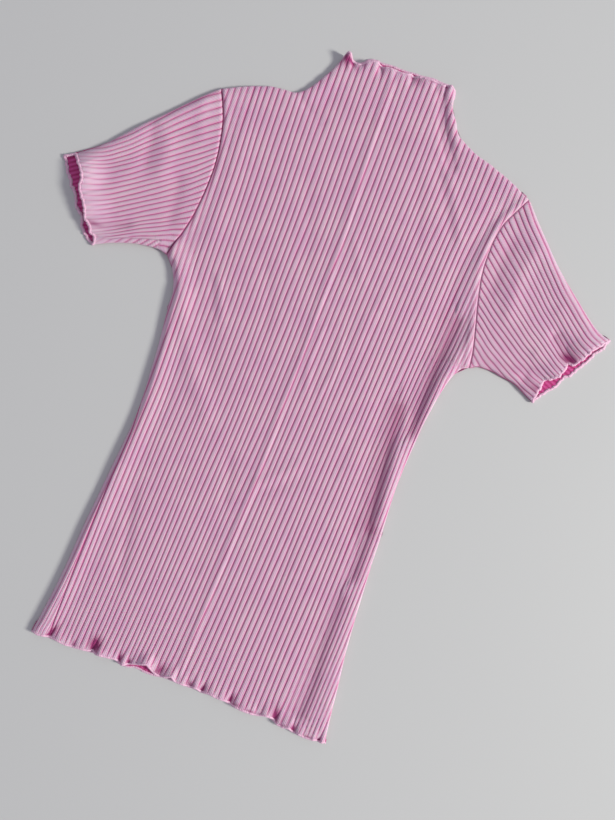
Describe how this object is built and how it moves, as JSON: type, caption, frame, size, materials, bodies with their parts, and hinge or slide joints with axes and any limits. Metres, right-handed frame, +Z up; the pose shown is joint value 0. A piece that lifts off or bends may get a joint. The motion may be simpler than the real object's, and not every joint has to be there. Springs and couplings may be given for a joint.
{
  "type": "short-sleeved ribbed top",
  "caption": "Fitted rib-knit top with short sleeves, a grown-on funnel neck and wavy overlocked edges, lying flat and face up.",
  "frame": {"origin": "middle of the garment's outline, on the surface that it lies on", "axes": "+X across the garment to the viewer's right, +Y from the hem to the neck, +Z up from the surface"},
  "size_m": [0.5748, 0.6624, 0.0089],
  "materials": {
    "rib_knit": "soft matt rib knit",
    "overlock_thread": "dense matt thread"
  },
  "bodies": {
    "root": {"front_panel": "rib_knit", "back_panel": "rib_knit", "sleeve_left_of_view": "rib_knit", "sleeve_right_of_view": "rib_knit"}
  },
  "joints": []
}
